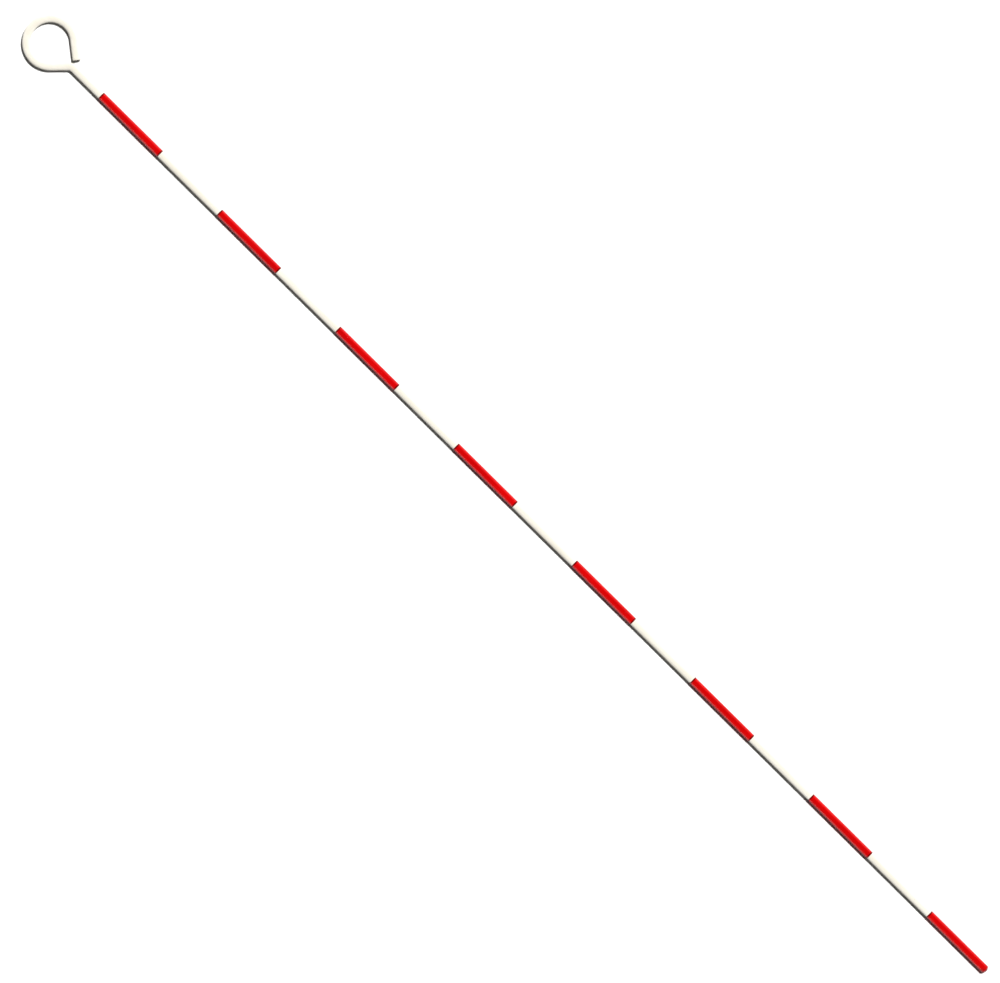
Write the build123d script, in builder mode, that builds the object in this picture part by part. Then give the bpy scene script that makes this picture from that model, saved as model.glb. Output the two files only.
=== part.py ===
from build123d import *
from math import cos, radians, sin, tan
import os

# Rigid avalanche probe: a straight graduated tube with a ring bent at its upper end.
# It is modelled lying flat, as it lies on a floor or a rack. +X runs along the shaft from
# the ring to the tip, +Z is up, and the free end of the ring is on the +Y side. The origin
# is on the surface it lies on, under the middle of its bounding box.

# ---- driving dimensions, mm and degrees ----
tube_od = 20.0  # white-coated aluminium tube, the same for shaft and ring
tube_wall = 1.5
band_length = 200.0  # one colour band of the depth scale
band_count = 15  # red and white in turn, red first and last
last_band = 195.0  # the one at the tip is a little shorter, its nose included
sleeve_wall = 0.25  # red shrink sleeve over the tube

neck_length = 100.0  # from the corner of the neck to the first band
neck_angle = 45.0
neck_bend_radius = 20.0  # to the tube's centreline, as all bend radii here
leg_length = 51.0  # from the corner of the neck to the start of the ring
ring_radius = 58.0
ring_sweep = 263.5
tail_length = 50.0  # straight end of the ring, its plug included

joint_cover = 10.0  # how far the first red sleeve runs over the handle's end
spigot_length = 60.0  # reduced end of the handle, inside the shaft
spigot_taper = 6.0
spigot_lead = 1.0  # chamfer on the end of the spigot and of the tip plug
glue_gap = 0.05  # radial gap round the spigot and the plugs

pin_diameter = 4.0  # slotted spring pin through shaft and spigot
pin_wall = 0.8
pin_slot = 0.8
pin_length = 19.0
pin_from_joint = 30.0

nose_length = 12.0  # solid head of the tip plug
nose_dome = 4.5
nose_edge = 4.0  # rounding between the dome and the side
nose_spigot = 40.0
groove_width = 3.0
groove_depth = 0.6
groove_places = (10.0, 20.0, 30.0)  # from the shoulder of the tip plug

cap_thickness = 1.5  # head of the plug in the ring's free end
cap_edge = 0.6
cap_stem = 14.0
rib_height = 0.4
rib_width = 1.2
rib_places = (3.0, 7.0, 11.0)  # from the head of that plug

# ---- sizes worked out from them ----
tube_radius = tube_od / 2
bore_radius = tube_radius - tube_wall
sleeve_radius = tube_radius + sleeve_wall
spigot_radius = bore_radius - glue_gap
spigot_bore = spigot_radius - tube_wall
pin_radius = pin_diameter / 2

turn = radians(neck_angle)
bend_tangent = neck_bend_radius * tan(turn / 2)
ring_back = leg_length * cos(turn) + ring_radius * sin(turn)  # ring centre behind the corner
ring_aside = ring_radius * cos(turn) - leg_length * sin(turn)  # ring centre beside the shaft
ring_reach = ring_radius + tube_radius
scale_length = (band_count - 1) * band_length + last_band
overall_length = ring_reach + ring_back + neck_length + scale_length

axis_y = -ring_aside
axis_z = sleeve_radius
tip_x = overall_length / 2
scale_x = tip_x - scale_length  # start of the first red band
corner_x = scale_x - neck_length
joint_x = scale_x + joint_cover
pin_x = joint_x + pin_from_joint
shoulder_x = tip_x - nose_length


def across_shaft(x):
    """Plane square to the shaft at x, facing the tip, centred on the shaft's axis."""
    return Plane(origin=(x, axis_y, axis_z), x_dir=(0, 1, 0), z_dir=(1, 0, 0))


def along_shaft(x):
    """Upright plane through the shaft's axis: local x runs to the tip, local y is up."""
    return Plane(origin=(x, axis_y, axis_z), x_dir=(1, 0, 0), z_dir=(0, -1, 0))


def write(piece, name):
    """Label a finished piece and write its STEP file."""
    piece.label = name
    export_step(piece, f"parts/{name}.step")


os.makedirs("parts", exist_ok=True)
shaft_axis = Axis((0, axis_y, axis_z), (1, 0, 0))

# The shaft: one straight length of tube from the joint under the first sleeve to the tip.
with BuildPart() as shaft_tube:
    with BuildSketch(across_shaft(joint_x)):
        Circle(tube_radius)
        Circle(bore_radius, mode=Mode.SUBTRACT)
    extrude(amount=shoulder_x - joint_x)
    with BuildSketch(Plane.XY.offset(axis_z)):
        with Locations((pin_x, axis_y)):
            Circle(pin_radius)
    extrude(amount=tube_od, both=True, mode=Mode.SUBTRACT)
write(shaft_tube.part, "shaft_tube")

# The ring handle: neck, corner, leg, ring and straight tail bent from one tube.
with BuildPart() as ring_handle:
    with BuildLine(Plane.XY.offset(axis_z)) as centreline:
        neck = Line((joint_x - spigot_taper, axis_y), (corner_x + bend_tangent, axis_y))
        corner = JernArc(neck @ 1, neck % 1, neck_bend_radius, neck_angle)
        leg = PolarLine(corner @ 1, leg_length - bend_tangent, direction=corner % 1)
        ring = JernArc(leg @ 1, leg % 1, ring_radius, -ring_sweep)
        tail = PolarLine(ring @ 1, tail_length - cap_thickness, direction=ring % 1)
    with BuildSketch(Plane(origin=neck @ 0, z_dir=neck % 0)):
        Circle(tube_radius)
        Circle(bore_radius, mode=Mode.SUBTRACT)
    sweep()
    # Its end is reduced to a spigot with the same wall, which fills the shaft's bore.
    with BuildSketch(along_shaft(joint_x)):
        with BuildLine():
            Polyline(
                (-spigot_taper, tube_radius),
                (0, tube_radius),
                (0, spigot_radius),
                (spigot_length - spigot_lead, spigot_radius),
                (spigot_length, spigot_radius - spigot_lead),
                (spigot_length, spigot_bore),
                (0, spigot_bore),
                (-spigot_taper, bore_radius),
                close=True,
            )
        make_face()
    revolve(axis=shaft_axis)
    with BuildSketch(Plane.XY.offset(axis_z)):
        with Locations((pin_x, axis_y)):
            Circle(pin_radius)
    extrude(amount=tube_od, both=True, mode=Mode.SUBTRACT)
write(ring_handle.part, "ring_handle")

# A slotted spring pin locks the spigot in the shaft, just below the tube's surface.
with BuildPart() as handle_pin:
    with BuildSketch(Plane.XY.offset(axis_z)):
        with Locations((pin_x, axis_y)):
            Circle(pin_radius)
            Circle(pin_radius - pin_wall, mode=Mode.SUBTRACT)
        with Locations((pin_x + pin_radius, axis_y)):
            Rectangle(pin_radius, pin_slot, mode=Mode.SUBTRACT)
    extrude(amount=pin_length / 2, both=True)
write(handle_pin.part, "handle_pin")

# The tip plug: a blunt nose as wide as the sleeves, on a spigot glued into the bore.
with BuildPart() as tip_plug:
    with BuildSketch(along_shaft(shoulder_x)) as nose_profile:
        with BuildLine():
            Polyline(
                (nose_length, 0),
                (-nose_spigot, 0),
                (-nose_spigot, spigot_radius - spigot_lead),
                (spigot_lead - nose_spigot, spigot_radius),
                (0, spigot_radius),
                (0, sleeve_radius),
                (nose_length - nose_dome, sleeve_radius),
            )
            TangentArc((nose_length, 0), (nose_length - nose_dome, sleeve_radius), tangent=(0, 1))
        make_face()
        rim = nose_profile.vertices().group_by(Axis.Y)[-1].sort_by(Axis.X)[-1]
        fillet(rim, radius=nose_edge)
    revolve(axis=shaft_axis)
    for place in groove_places:
        with BuildSketch(across_shaft(shoulder_x - place)):
            Circle(tube_radius)
            Circle(spigot_radius - groove_depth, mode=Mode.SUBTRACT)
        extrude(amount=-groove_width, mode=Mode.SUBTRACT)
write(tip_plug.part, "tip_plug")

# A ribbed plug closes the ring's free end. Its head is flush with the tube.
tube_end = Plane(origin=tail @ 1, z_dir=tail % 1)
with BuildPart() as ring_end_plug:
    with BuildSketch(tube_end):
        Circle(tube_radius)
    extrude(amount=cap_thickness)
    cap_rim = ring_end_plug.edges().sort_by(Axis(tube_end.origin, tube_end.z_dir))[-1]
    fillet(cap_rim, radius=cap_edge)
    with BuildSketch(tube_end):
        Circle(bore_radius - rib_height)
    extrude(amount=-cap_stem)
    for place in rib_places:
        with BuildSketch(tube_end.offset(-place)):
            Circle(bore_radius)
        extrude(amount=-rib_width)
write(ring_end_plug.part, "ring_end_plug")

# The red bands: a shrink sleeve on every other band. The nose of the tip ends the last one.
for number in range(1, band_count // 2 + 2):
    start_x = scale_x + 2 * (number - 1) * band_length
    end_x = min(start_x + band_length, shoulder_x)
    with BuildPart() as red_band:
        with BuildSketch(across_shaft(start_x)):
            Circle(sleeve_radius)
            Circle(tube_radius, mode=Mode.SUBTRACT)
        extrude(amount=end_x - start_x)
    write(red_band.part, f"red_band_{number}")
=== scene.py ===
from math import asin, atan2, ceil, cos, pi, radians, sin, tan

import bmesh
import bpy
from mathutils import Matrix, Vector


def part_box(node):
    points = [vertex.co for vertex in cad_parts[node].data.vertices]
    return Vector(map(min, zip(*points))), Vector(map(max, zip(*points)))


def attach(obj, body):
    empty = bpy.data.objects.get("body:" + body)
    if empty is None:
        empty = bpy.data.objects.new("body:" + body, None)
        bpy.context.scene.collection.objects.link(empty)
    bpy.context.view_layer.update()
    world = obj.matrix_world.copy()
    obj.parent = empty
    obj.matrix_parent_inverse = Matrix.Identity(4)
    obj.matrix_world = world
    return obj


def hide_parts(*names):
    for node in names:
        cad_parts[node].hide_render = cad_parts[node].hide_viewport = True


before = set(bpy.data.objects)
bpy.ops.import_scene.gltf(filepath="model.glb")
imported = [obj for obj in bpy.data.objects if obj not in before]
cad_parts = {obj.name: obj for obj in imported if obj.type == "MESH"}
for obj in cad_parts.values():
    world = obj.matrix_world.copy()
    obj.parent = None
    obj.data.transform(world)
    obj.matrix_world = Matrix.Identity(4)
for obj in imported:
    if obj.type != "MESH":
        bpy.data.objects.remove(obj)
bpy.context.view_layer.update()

# ---- sizes read from the frame ----
ring_low, ring_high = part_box("ring_handle")
shaft_low, shaft_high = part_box("shaft_tube")
nose_low, nose_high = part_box("tip_plug")
first_low, first_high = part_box("red_band_1")
TUBE_R = (ring_high.z - ring_low.z) / 2
AXIS_Z = (ring_high.z + ring_low.z) / 2
AXIS_Y = (nose_high.y + nose_low.y) / 2
SLEEVE_R = AXIS_Z  # the sleeves rest on the floor, and hold the tube just off it
RING_R = (ring_high.y - ring_low.y) / 2 - TUBE_R
RING_CENTRE = Vector((ring_low.x + TUBE_R + RING_R, (ring_high.y + ring_low.y) / 2, AXIS_Z))
JOINT_X = shaft_low.x
SCALE_X = first_low.x
BAND = first_high.x - first_low.x
SHOULDER_X = shaft_high.x
TIP_X = nose_high.x

# ---- sizes that the frame doesn't give ----
WALL = 0.0015
BORE_R = TUBE_R - WALL
NECK_TURN = radians(45)  # corner between the neck and the ring's straight leg
NECK_BEND_R = 0.020
RING_SWEEP = radians(263.5)
TAIL = 0.050  # straight end of the ring, its plug included
SPIGOT_R = BORE_R - 0.00005  # room for the glue
SPIGOT_BORE_R = SPIGOT_R - WALL
SPIGOT = 0.060
SPIGOT_TAPER = 0.006
SPIGOT_LEAD = 0.001

PIN_X = JOINT_X + 0.030
PIN_R = 0.002
PIN_WALL = 0.0008
PIN_SLOT = 0.0008
PIN_LEAD = 0.0005  # length of the taper at each end of the pin
PIN_NARROWING = 0.4  # of its wall, at the end of the taper

NOSE_DOME = 0.0045
NOSE_EDGE = 0.004
NOSE_SEAM = 0.00025  # rounding of the nose's shoulder against the last sleeve
GROOVE_PLACES = (0.010, 0.020, 0.030)
GROOVE_WIDTH = 0.003
GROOVE_DEPTH = 0.0006
GROOVE_EDGE = 0.0002

CAP = 0.0015  # head of the plug in the ring's free end
CAP_EDGE = 0.0006
CAP_STEM = 0.014
STEM_EDGE = 0.0005
RIB_PLACES = (0.003, 0.007, 0.011)
RIB_WIDTH = 0.0012
RIB_HEIGHT = 0.0004
RIB_EDGE = 0.00015
DISH_R = 0.006
DISH_DEPTH = 0.0003

BROKEN_EDGE = 0.0002  # rounding of the cut ends of tubes
SLEEVE_EDGE = 0.45 * (SLEEVE_R - TUBE_R)  # rounding of the cut ends of sleeves
FLOOR = 60.0  # side of the paper

# ---- fineness of the meshes ----
ROUND = 96  # segments round a tube
PIN_ROUND = 48  # segments round the pin and its hole
STRAIGHT_STEP = 0.006  # along the handle's straight runs
NECK_STEP = radians(3)
RING_STEP = radians(2.5)

ALONG_SHAFT = Vector((1, 0, 0))


def on_axis(x):
    """The point of the shaft's axis at x."""
    return Vector((x, AXIS_Y, AXIS_Z))


# ---------------------------------------------------------------- camera and light
def add_camera():
    """Straight above the probe, turned so that the shaft falls from upper left to lower right."""
    fall = radians(44.67)
    width_seen = 2.4059
    aim = Vector((-0.0231, AXIS_Y - 0.0024, AXIS_Z))
    data = bpy.data.cameras.new("camera")
    data.lens = 250.0
    data.sensor_width = 36.0
    data.clip_end = 200.0
    camera = bpy.data.objects.new("camera", data)
    camera.location = aim + Vector((0, 0, width_seen * data.lens / data.sensor_width))
    camera.rotation_euler = (0, 0, fall)
    bpy.context.scene.collection.objects.link(camera)
    bpy.context.scene.camera = camera


def add_sun(name, bearing, height, energy, width):
    """A far soft light: degrees round from +X, up from the floor and across its disc."""
    data = bpy.data.lights.new(name, "SUN")
    data.energy = energy
    data.angle = radians(width)
    data.color = (1.0, 0.995, 0.985)
    light = bpy.data.objects.new(name, data)
    bearing, height = radians(bearing), radians(height)
    towards = Vector((cos(bearing) * cos(height), sin(bearing) * cos(height), sin(height)))
    light.rotation_euler = towards.to_track_quat("Z", "Y").to_euler()
    bpy.context.scene.collection.objects.link(light)
    return light


def add_lights():
    """A high soft key on the +Y side, without its highlight, and a low broad fill facing it."""
    key = add_sun("key", bearing=90, height=66, energy=4.12, width=9)
    key.visible_glossy = False
    add_sun("fill", bearing=-90, height=8, energy=0.45, width=30)


def add_surround():
    """A white studio with a dark ceiling in its reflections, which sends back little light."""
    seen_by_camera = 1.0
    ambient = 0.05
    walls, ceiling = 0.9, 0.03  # as glossy surfaces see them
    walls_end, ceiling_start = 0.1, 0.8  # sines of the heights between which one fades to the other

    world = bpy.data.worlds.new("studio")
    world.use_nodes = True
    tree = world.node_tree
    ray = tree.nodes.new("ShaderNodeLightPath")

    def glow(strength):
        made = tree.nodes.new("ShaderNodeBackground")
        made.inputs["Color"].default_value = (0.98, 0.99, 1.0, 1.0)
        made.inputs["Strength"].default_value = strength
        return made

    def choose(share, a, b):
        made = tree.nodes.new("ShaderNodeMixShader")
        for output, to in zip((share, a, b), made.inputs):
            tree.links.new(output, to)
        return made.outputs["Shader"]

    way = tree.nodes.new("ShaderNodeTexCoord")
    parts = tree.nodes.new("ShaderNodeSeparateXYZ")
    tree.links.new(way.outputs["Generated"], parts.inputs["Vector"])
    fade = tree.nodes.new("ShaderNodeMapRange")
    fade.interpolation_type = "SMOOTHSTEP"
    fade.inputs["From Min"].default_value = walls_end
    fade.inputs["From Max"].default_value = ceiling_start
    fade.inputs["To Min"].default_value = walls
    fade.inputs["To Max"].default_value = ceiling
    tree.links.new(parts.outputs["Z"], fade.inputs["Value"])
    room = glow(1.0)
    tree.links.new(fade.outputs["Result"], room.inputs["Strength"])

    unseen = choose(ray.outputs["Is Glossy Ray"], glow(ambient).outputs[0], room.outputs[0])
    surround = choose(ray.outputs["Is Camera Ray"], unseen, glow(seen_by_camera).outputs[0])
    tree.links.new(surround, tree.nodes["World Output"].inputs["Surface"])
    bpy.context.scene.world = world
    bpy.context.scene.view_settings.view_transform = "Standard"
    bpy.context.scene.view_settings.gamma = 0.8


# ---------------------------------------------------------------- materials
class Finish:
    """A material with a Principled shader, and short ways to drive it from noise."""

    def __init__(self, name):
        self.material = bpy.data.materials.new(name)
        self.material.use_nodes = True
        self.tree = self.material.node_tree
        self.shader = self.tree.nodes["Principled BSDF"]
        self.place = self.tree.nodes.new("ShaderNodeTexCoord").outputs["Object"]

    def node(self, kind, **settings):
        made = self.tree.nodes.new(kind)
        for name, value in settings.items():
            setattr(made, name, value)
        return made

    def link(self, output, to):
        self.tree.links.new(output, to)

    def fix(self, name, value):
        """One value of the shader, the same all over."""
        self.shader.inputs[name].default_value = value

    def drive(self, name, output):
        """One value of the shader, which changes over the surface."""
        self.link(output, self.shader.inputs[name])

    def noise(self, per_metre, detail=3.0, seed=0.0):
        """Noise with so many features to the metre along X, Y and Z."""
        stretch = self.node("ShaderNodeMapping")
        stretch.inputs["Scale"].default_value = per_metre
        stretch.inputs["Location"].default_value = (seed, seed, seed)
        self.link(self.place, stretch.inputs["Vector"])
        noise = self.node("ShaderNodeTexNoise")
        noise.inputs["Scale"].default_value = 1.0
        noise.inputs["Detail"].default_value = detail
        self.link(stretch.outputs["Vector"], noise.inputs["Vector"])
        return noise.outputs["Fac"]

    def along(self):
        """How far along X, which is along the shaft."""
        apart = self.node("ShaderNodeSeparateXYZ")
        self.link(self.place, apart.inputs["Vector"])
        return apart.outputs["X"]

    def between(self, value, low, high, to_low=0.0, to_high=1.0):
        """The value's stretch from low to high, spread from to_low to to_high and held beyond."""
        spread = self.node("ShaderNodeMapRange", clamp=True)
        spread.inputs["From Min"].default_value = low
        spread.inputs["From Max"].default_value = high
        spread.inputs["To Min"].default_value = to_low
        spread.inputs["To Max"].default_value = to_high
        self.link(value, spread.inputs["Value"])
        return spread.outputs["Result"]

    def maths(self, operation, a, b):
        """A Math node on output a and on b, an output or a number."""
        made = self.node("ShaderNodeMath", operation=operation)
        self.link(a, made.inputs[0])
        if isinstance(b, float):
            made.inputs[1].default_value = b
        else:
            self.link(b, made.inputs[1])
        return made.outputs["Value"]

    def blend(self, share, a, b):
        """Colour a where share is 0 and b where it is 1. Each is a colour or an output."""
        mix = self.node("ShaderNodeMix", data_type="RGBA")
        self.link(share, mix.inputs["Factor"])
        for value, name in ((a, "A"), (b, "B")):
            socket = next(s for s in mix.inputs if s.name == name and s.type == "RGBA")
            if isinstance(value, tuple):
                socket.default_value = (*value, 1.0)
            else:
                self.link(value, socket)
        return next(s for s in mix.outputs if s.type == "RGBA")

    def relief(self, height, depth, strength):
        bump = self.node("ShaderNodeBump")
        bump.inputs["Distance"].default_value = depth
        bump.inputs["Strength"].default_value = strength
        self.link(height, bump.inputs["Height"])
        self.drive("Normal", bump.outputs["Normal"])


def ivory_enamel():
    """Baked ivory enamel on aluminium: orange peel, faint ageing, snow scuffs and small chips."""
    f = Finish("ivory_enamel")
    aged = f.between(f.noise((5, 40, 40), detail=4), 0.35, 0.75)
    colour = f.blend(aged, (0.86, 0.84, 0.785), (0.80, 0.775, 0.70))
    scuffs = f.between(f.noise((14, 900, 900), seed=4.0), 0.66, 0.74, 0.0, 0.30)
    colour = f.blend(scuffs, colour, (0.42, 0.40, 0.36))
    chips = f.between(f.noise((160, 160, 160), detail=2, seed=9.0), 0.765, 0.785, 0.0, 0.7)
    colour = f.blend(chips, colour, (0.36, 0.35, 0.33))
    dull = f.between(f.noise((30, 200, 200), seed=2.0), 0.3, 0.7, 0.38, 0.52)
    f.drive("Base Color", colour)
    f.drive("Roughness", dull)
    f.fix("Specular IOR Level", 0.3)
    f.fix("Diffuse Roughness", 0.8)
    f.relief(f.noise((650, 650, 650), detail=2, seed=6.0), depth=0.00012, strength=0.35)
    return f.material


def red_film():
    """Glossy red shrink film: draw lines, rub marks, and painted shade: a dark line along each cut
    end.
    """
    f = Finish("red_film")
    uneven = f.between(f.noise((9, 70, 70), detail=4), 0.3, 0.7)
    colour = f.blend(uneven, (0.71, 0.004, 0.005), (0.60, 0.003, 0.004))
    rubbed = f.between(f.noise((22, 1100, 1100), seed=5.0), 0.66, 0.75, 0.0, 0.16)
    colour = f.blend(rubbed, colour, (0.72, 0.16, 0.13))
    from_start = f.maths("SUBTRACT", f.along(), SCALE_X)
    from_end = f.maths("PINGPONG", from_start, BAND / 2)
    # painted shade: the colour darkens towards near black within a few millimetres of each cut end,
    # as a dark outline
    painted_end_shade = f.between(from_end, 0.0026, 0.0042, 0.85, 0.0)
    colour = f.blend(painted_end_shade, colour, (0.16, 0.001, 0.001))
    dull = f.between(f.noise((25, 160, 160), seed=3.0), 0.3, 0.7, 0.16, 0.30)
    f.drive("Base Color", colour)
    f.drive("Roughness", dull)
    f.fix("Diffuse Roughness", 0.8)
    f.relief(f.noise((40, 520, 520), seed=7.0), depth=0.0001, strength=0.35)
    return f.material


def red_nose_paint():
    """Red paint on the nose, chipped to dull grey metal on the rim and face that meet the ground."""
    f = Finish("red_nose_paint")
    front = f.between(f.along(), TIP_X - NOSE_DOME, TIP_X - 0.0008)
    patches = f.between(f.noise((520, 620, 620), detail=5, seed=1.0), 0.60, 0.62)
    worn = f.maths("MULTIPLY", front, patches)
    uneven = f.between(f.noise((90, 90, 90), seed=8.0), 0.3, 0.7)
    paint = f.blend(uneven, (0.66, 0.006, 0.006), (0.52, 0.005, 0.006))
    # darker brown mottling over the front of the nose
    front_dark_mottle = f.maths("MULTIPLY", front, f.noise((300, 300, 300), detail=4, seed=5.0))
    paint = f.blend(front_dark_mottle, paint, (0.13, 0.02, 0.012))
    f.drive("Base Color", f.blend(worn, paint, (0.30, 0.285, 0.27)))
    f.drive("Roughness", f.between(worn, 0.0, 1.0, 0.30, 0.5))
    f.drive("Metallic", f.between(worn, 0.2, 1.0, 0.0, 0.9))
    f.relief(f.noise((500, 500, 500), seed=2.0), depth=0.00012, strength=0.4)
    return f.material


def ivory_plastic():
    """Moulded ivory plastic with a fine dull grain."""
    f = Finish("ivory_plastic")
    uneven = f.between(f.noise((120, 120, 120)), 0.3, 0.7)
    dull = f.between(f.noise((300, 300, 300), detail=2, seed=4.0), 0.3, 0.7, 0.45, 0.6)
    f.drive("Base Color", f.blend(uneven, (0.82, 0.80, 0.75), (0.76, 0.74, 0.68)))
    f.drive("Roughness", dull)
    f.relief(f.noise((2200, 2200, 2200), detail=2, seed=3.0), depth=0.00005, strength=0.4)
    return f.material


def drawn_metal(name, light, dark, smoothest, dullest):
    """Bare metal with fine draw lines along X and dull patches."""
    f = Finish(name)
    lines = f.between(f.noise((40, 2600, 2600)), 0.3, 0.7)
    dull = f.between(f.noise((60, 300, 300), seed=5.0), 0.3, 0.7, smoothest, dullest)
    f.drive("Base Color", f.blend(lines, light, dark))
    f.drive("Roughness", dull)
    f.fix("Metallic", 1.0)
    f.relief(lines, depth=0.00003, strength=0.3)
    return f.material


def floor_paper():
    """Plain near-white studio paper that throws little light back up at the object."""
    f = Finish("floor_paper")
    white = f.blend(f.noise((3, 3, 3), detail=2), (0.90, 0.90, 0.90), (0.92, 0.92, 0.92))
    ray = f.node("ShaderNodeLightPath")
    f.drive("Base Color", f.blend(ray.outputs["Is Diffuse Ray"], white, (0.4, 0.4, 0.4)))
    f.fix("Roughness", 0.9)
    f.fix("Specular IOR Level", 0.1)
    return f.material


# ---------------------------------------------------------------- mesh building
def rounded(profile, radii, steps=6):
    """A closed profile of (along, out) points with its corners rounded by the radii given."""
    points = [Vector(p) for p in profile]
    result = []
    for i, corner in enumerate(points):
        radius = radii[i]
        if radius == 0:
            result.append(corner)
            continue
        before = (points[i - 1] - corner).normalized()
        after = (points[(i + 1) % len(points)] - corner).normalized()
        half = before.angle(after) / 2
        centre = corner + (before + after).normalized() * radius / sin(half)
        start = corner + before * radius / tan(half) - centre
        turn = pi - 2 * half
        if before.x * after.y - before.y * after.x > 0:
            turn = -turn
        for k in range(steps + 1):
            angle = turn * k / steps
            along = start.x * cos(angle) - start.y * sin(angle)
            out = start.x * sin(angle) + start.y * cos(angle)
            result.append(centre + Vector((along, out)))
    return result


def divided(profile, longest):
    """The closed profile, its stretches off the axis cut into equal runs no longer than longest."""
    result = []
    for i, point in enumerate(profile):
        following = profile[(i + 1) % len(profile)]
        is_axis = point.y == 0 and following.y == 0
        pieces = 1 if is_axis else ceil((following - point).length / longest)
        result += [point.lerp(following, k / pieces) for k in range(pieces)]
    return result


def shade_smooth(mesh):
    """Smooth shading, broken at real edges."""
    mesh.polygons.foreach_set("use_smooth", [True] * len(mesh.polygons))
    mesh.set_sharp_from_angle(angle=radians(40))


def mesh_piece(name, vertices, faces, node, materials, bare=()):
    """A smooth piece standing for a CAD node. Its faces marked bare have the second material."""
    mesh = bpy.data.meshes.new(name)
    mesh.from_pydata(vertices, [], faces)
    for material in materials:
        mesh.materials.append(material)
    if bare:
        mesh.polygons.foreach_set("material_index", bare)
    mesh.validate()
    shade_smooth(mesh)
    piece = bpy.data.objects.new(name, mesh)
    bpy.context.scene.collection.objects.link(piece)
    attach(piece, "root")
    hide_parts(node)
    return piece


def turned(name, profile, origin, along, node, materials, is_bare=None):
    """Revolves a closed profile about the line from origin along, with its faces outwards.

    The profile's (along, out) points run from its far end back over the outside.
    """
    along = along.normalized()
    side = Vector((0, 0, 1)).cross(along).normalized()
    up = along.cross(side)
    vertices, rings, faces, bare = [], [], [], []
    for point in profile:
        if point.y < 1e-9:
            rings.append([len(vertices)] * ROUND)
            vertices.append(origin + along * point.x)
            continue
        rings.append(range(len(vertices), len(vertices) + ROUND))
        for k in range(ROUND):
            angle = 2 * pi * k / ROUND
            out = side * cos(angle) + up * sin(angle)
            vertices.append(origin + along * point.x + out * point.y)
    for i, ring in enumerate(rings):
        j = (i + 1) % len(rings)
        following = rings[j]
        for k in range(ROUND):
            n = (k + 1) % ROUND
            corners = [ring[k], following[k], following[n], ring[n]]
            corners = [c for m, c in enumerate(corners) if c not in corners[:m]]
            if len(corners) > 2:
                faces.append(corners)
                if is_bare:
                    bare.append(int(is_bare(profile[i]) and is_bare(profile[j])))
    return mesh_piece(name, vertices, faces, node, materials, bare)


def drill_for_pin(piece):
    """Cuts the upright pin hole through a piece."""
    bpy.ops.mesh.primitive_cylinder_add(
        vertices=PIN_ROUND, radius=PIN_R, depth=4 * TUBE_R, location=on_axis(PIN_X)
    )
    drill = bpy.context.object
    cut = piece.modifiers.new("pin_hole", "BOOLEAN")
    cut.operation = "DIFFERENCE"
    cut.solver = "EXACT"
    cut.object = drill
    bpy.context.view_layer.update()
    evaluated = piece.evaluated_get(bpy.context.evaluated_depsgraph_get())
    drilled = bpy.data.meshes.new_from_object(evaluated)
    piece.modifiers.clear()
    shade_smooth(drilled)
    piece.data = drilled
    bpy.data.objects.remove(drill)


def notched(places, width, depth, start_out, edge):
    """Profile points and radii of grooves or ribs in a side at start_out, one behind each place.

    The depth is outwards, so a groove's is negative.
    """
    points, radii = [], []
    for place in places:
        for along, share in ((0, 0), (0, 1), (width, 1), (width, 0)):
            points.append((-place - along, start_out + share * depth))
            radii.append(edge)
    return points, radii


# ---------------------------------------------------------------- the pieces
def handle_line():
    """The handle's centreline from the joint to the plug, as (point, direction) stations."""
    leg = (RING_R * cos(NECK_TURN) + (AXIS_Y - RING_CENTRE.y)) / sin(NECK_TURN)
    leg_way = Vector((-cos(NECK_TURN), -sin(NECK_TURN), 0))
    ring_start = RING_CENTRE + Vector((sin(NECK_TURN), -cos(NECK_TURN), 0)) * RING_R
    corner = ring_start - leg_way * leg
    tangent = NECK_BEND_R * tan(NECK_TURN / 2)
    bend_centre = Vector((corner.x + tangent, AXIS_Y - NECK_BEND_R, AXIS_Z))

    def run(start, way, length):
        count = round(length / STRAIGHT_STEP)
        return [(start + way * length * k / count, way) for k in range(count)]

    def arc(centre, radius, start_angle, turn, step):
        count = round(abs(turn) / step)
        stations = []
        for k in range(count):
            angle = start_angle + turn * k / count
            out = Vector((cos(angle), sin(angle), 0))
            way = Vector((-sin(angle), cos(angle), 0)) * (1 if turn > 0 else -1)
            stations.append((centre + out * radius, way))
        return stations

    neck_way = -ALONG_SHAFT
    neck_end_x = corner.x + tangent
    stations = run(on_axis(JOINT_X), neck_way, JOINT_X - neck_end_x)
    stations += arc(bend_centre, NECK_BEND_R, pi / 2, NECK_TURN, NECK_STEP)
    stations += run(corner + leg_way * tangent, leg_way, leg - tangent)
    start_angle = atan2(-cos(NECK_TURN), sin(NECK_TURN))
    stations += arc(RING_CENTRE, RING_R, start_angle, -RING_SWEEP, RING_STEP)
    end_angle = start_angle - RING_SWEEP
    ring_end = RING_CENTRE + Vector((cos(end_angle), sin(end_angle), 0)) * RING_R
    tail_way = Vector((sin(end_angle), -cos(end_angle), 0))
    stations += run(ring_end, tail_way, TAIL - CAP)
    stations.append((ring_end + tail_way * (TAIL - CAP), tail_way))
    return stations


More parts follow.
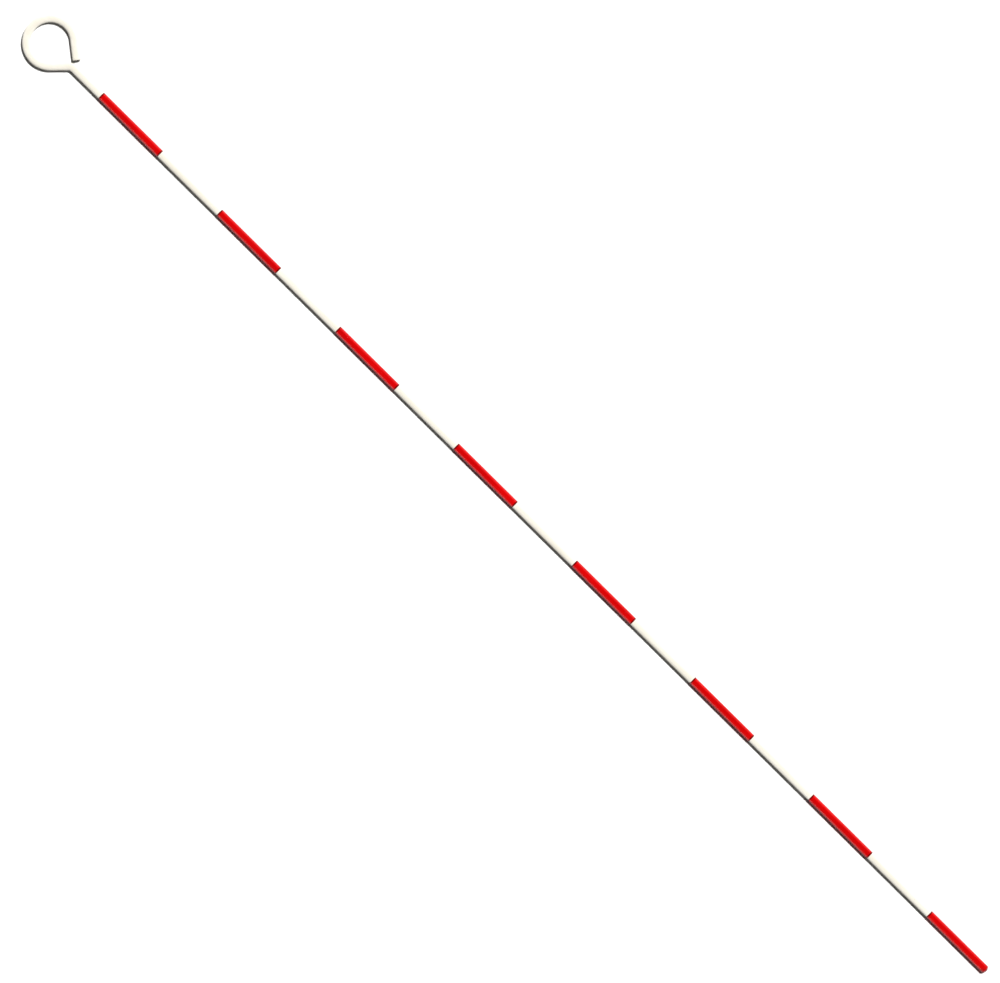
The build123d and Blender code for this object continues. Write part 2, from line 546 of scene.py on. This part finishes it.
def add_handle(materials):
    """Neck, corner, leg, ring and tail of one bent tube, with a bare bore and spigot."""
    near_shoulder = 0.0002  # rings this close behind a corner keep its shading crisp
    near_end = 0.001
    mid_edge = BROKEN_EDGE * 0.3  # how far the middle of a rounding stands in from each side
    line = handle_line()
    rings, radii = [], []

    def add_ring(point, way, radius):
        side = Vector((0, 0, 1)).cross(way).normalized()
        ring = []
        for k in range(ROUND):
            angle = 2 * pi * k / ROUND
            ring.append(point + side * radius * cos(angle) + Vector((0, 0, radius * sin(angle))))
        rings.append(ring)
        radii.append(radius)

    # The rings follow the section once round: over the spigot, out along the tube and back
    # along its bore.
    joint, neck_way = line[0]
    for ahead, radius in (
        (-SPIGOT_TAPER, BORE_R),
        (0, SPIGOT_BORE_R),
        (SPIGOT, SPIGOT_BORE_R),
        (SPIGOT, SPIGOT_R - SPIGOT_LEAD),
        (SPIGOT - SPIGOT_LEAD, SPIGOT_R),
        (near_shoulder, SPIGOT_R),
        (0, SPIGOT_R),
        (0, TUBE_R - BROKEN_EDGE),
        (-mid_edge, TUBE_R - mid_edge),
        (-BROKEN_EDGE, TUBE_R),
        (-near_end, TUBE_R),
    ):
        add_ring(joint - neck_way * ahead, neck_way, radius)
    for point, way in line[1:-1]:
        add_ring(point, way, TUBE_R)
    tube_end, tube_way = line[-1]
    for back, radius in (
        (near_end, TUBE_R),
        (BROKEN_EDGE, TUBE_R),
        (mid_edge, TUBE_R - mid_edge),
        (0, TUBE_R - BROKEN_EDGE),
        (0, BORE_R),
    ):
        add_ring(tube_end - tube_way * back, tube_way, radius)
    for point, way in reversed(line[2:-1]):
        add_ring(point, way, BORE_R)

    vertices = [vertex for ring in rings for vertex in ring]
    faces, bare = [], []
    for i in range(len(rings)):
        j = (i + 1) % len(rings)
        is_bare = int(max(radii[i], radii[j]) < TUBE_R - BROKEN_EDGE / 2)
        for k in range(ROUND):
            n = (k + 1) % ROUND
            faces.append((i * ROUND + k, i * ROUND + n, j * ROUND + n, j * ROUND + k))
            bare.append(is_bare)
    handle = mesh_piece(
        "ring_handle_bent", vertices, faces, "ring_handle", materials, bare
    )
    drill_for_pin(handle)


def add_shaft(materials):
    """The straight tube, with its ends just broken and a bare bore."""
    length = SHOULDER_X - JOINT_X
    corners = [(length, TUBE_R), (0, TUBE_R), (0, BORE_R), (length, BORE_R)]
    profile = rounded(corners, [BROKEN_EDGE] * 4, steps=3)

    def in_bore(point):
        return point.y < TUBE_R - BROKEN_EDGE

    shaft = turned(
        "shaft_drawn", divided(profile, longest=0.02), on_axis(JOINT_X), ALONG_SHAFT,
        "shaft_tube", materials, in_bore,
    )
    drill_for_pin(shaft)


def add_band(node, material):
    """One red sleeve, with softly rounded cut edges."""
    low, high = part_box(node)
    length = high.x - low.x
    corners = [(length, SLEEVE_R), (0, SLEEVE_R), (0, TUBE_R), (length, TUBE_R)]
    profile = rounded(corners, [SLEEVE_EDGE, SLEEVE_EDGE, 0, 0], steps=4)
    turned(
        f"{node}_shrunk", divided(profile, longest=0.01), on_axis(low.x), ALONG_SHAFT,
        node, [material],
    )


def add_nose(materials):
    """The blunt nose: a dome, a well rounded rim and a bare grooved spigot in the bore."""
    nose = TIP_X - SHOULDER_X
    depth = SHOULDER_X - nose_low.x
    dome_r = (SLEEVE_R ** 2 + NOSE_DOME ** 2) / (2 * NOSE_DOME)
    profile = []
    for share in (0, 0.15, 0.3, 0.45):
        out = SLEEVE_R * share
        profile.append((nose - dome_r + (dome_r ** 2 - out ** 2) ** 0.5, out))
    radii = [0] * len(profile)
    profile += [(nose - NOSE_DOME, SLEEVE_R), (0, SLEEVE_R), (0, SPIGOT_R)]
    radii += [NOSE_EDGE, NOSE_SEAM, 0]
    points, point_radii = notched(GROOVE_PLACES, GROOVE_WIDTH, -GROOVE_DEPTH, SPIGOT_R, GROOVE_EDGE)
    profile += points
    radii += point_radii
    profile += [(SPIGOT_LEAD - depth, SPIGOT_R), (-depth, SPIGOT_R - SPIGOT_LEAD), (-depth, 0)]
    radii += [GROOVE_EDGE, GROOVE_EDGE, 0]

    def behind_shoulder(point):
        return point.x <= 0

    turned(
        "tip_nose", divided(rounded(profile, radii), longest=0.004), on_axis(SHOULDER_X),
        ALONG_SHAFT, "tip_plug", materials, behind_shoulder,
    )


def add_end_plug(material):
    """The ribbed plug in the ring's free end, with a shallow dish moulded in its head."""
    point, way = handle_line()[-1]
    stem_r = BORE_R - RIB_HEIGHT
    dish = CAP - DISH_DEPTH
    profile = [(dish, 0), (dish, DISH_R - DISH_DEPTH), (CAP, DISH_R)]
    radii = [0, DISH_DEPTH, DISH_DEPTH]
    profile += [(CAP, TUBE_R), (0, TUBE_R), (0, stem_r)]
    radii += [CAP_EDGE, BROKEN_EDGE, 0]
    points, point_radii = notched(RIB_PLACES, RIB_WIDTH, RIB_HEIGHT, stem_r, RIB_EDGE)
    profile += points
    radii += point_radii
    profile += [(-CAP_STEM, stem_r), (-CAP_STEM, 0)]
    radii += [STEM_EDGE, 0]
    turned(
        "ring_end_cap", divided(rounded(profile, radii), longest=0.003), point, way,
        "ring_end_plug", [material],
    )


def add_pin(material):
    """The rolled spring pin across the joint: a C section with a tapered lead at each end."""
    low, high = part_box("handle_pin")
    half = (high.z - low.z) / 2
    taper = PIN_WALL * PIN_NARROWING
    levels = [(-half, taper), (PIN_LEAD - half, 0), (0, 0), (half - PIN_LEAD, 0), (half, taper)]
    vertices, faces = [], []
    for height, narrowing in levels:
        outside = (PIN_R - narrowing, range(PIN_ROUND + 1))
        inside = (PIN_R - PIN_WALL, range(PIN_ROUND, -1, -1))
        for radius, order in (outside, inside):
            gap = asin(PIN_SLOT / 2 / radius)
            for k in order:
                angle = gap + (2 * pi - 2 * gap) * k / PIN_ROUND
                x = PIN_X + radius * cos(angle)
                y = AXIS_Y + radius * sin(angle)
                vertices.append((x, y, AXIS_Z + height))
    around = 2 * (PIN_ROUND + 1)
    for level in range(len(levels) - 1):
        start = level * around
        for k in range(around):
            n = (k + 1) % around
            faces.append((start + k, start + n, start + around + n, start + around + k))
    top = (len(levels) - 1) * around
    for k in range(PIN_ROUND):
        outer, inner = (k, k + 1), (around - 2 - k, around - 1 - k)
        faces.append((outer[0], inner[1], inner[0], outer[1]))
        faces.append((top + outer[1], top + inner[0], top + inner[1], top + outer[0]))
    mesh_piece("handle_pin_rolled", vertices, faces, "handle_pin", [material])


def add_floor(material):
    """A broad square of paper."""
    floor = bmesh.new()
    bmesh.ops.create_grid(floor, x_segments=1, y_segments=1, size=FLOOR / 2)
    mesh = bpy.data.meshes.new("floor")
    floor.to_mesh(mesh)
    floor.free()
    mesh.materials.append(material)
    paper = bpy.data.objects.new("floor", mesh)
    bpy.context.scene.collection.objects.link(paper)


add_camera()
add_lights()
add_surround()
add_floor(floor_paper())
enamel = ivory_enamel()
film = red_film()
aluminium = drawn_metal("bare_aluminium", (0.86, 0.86, 0.87), (0.70, 0.70, 0.71), 0.30, 0.48)
steel = drawn_metal("spring_steel", (0.52, 0.52, 0.54), (0.38, 0.37, 0.37), 0.28, 0.45)
add_handle([enamel, aluminium])
add_shaft([enamel, aluminium])
add_nose([red_nose_paint(), aluminium])
add_end_plug(ivory_plastic())
add_pin(steel)
for node in sorted(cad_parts):
    if node.startswith("red_band_"):
        add_band(node, film)
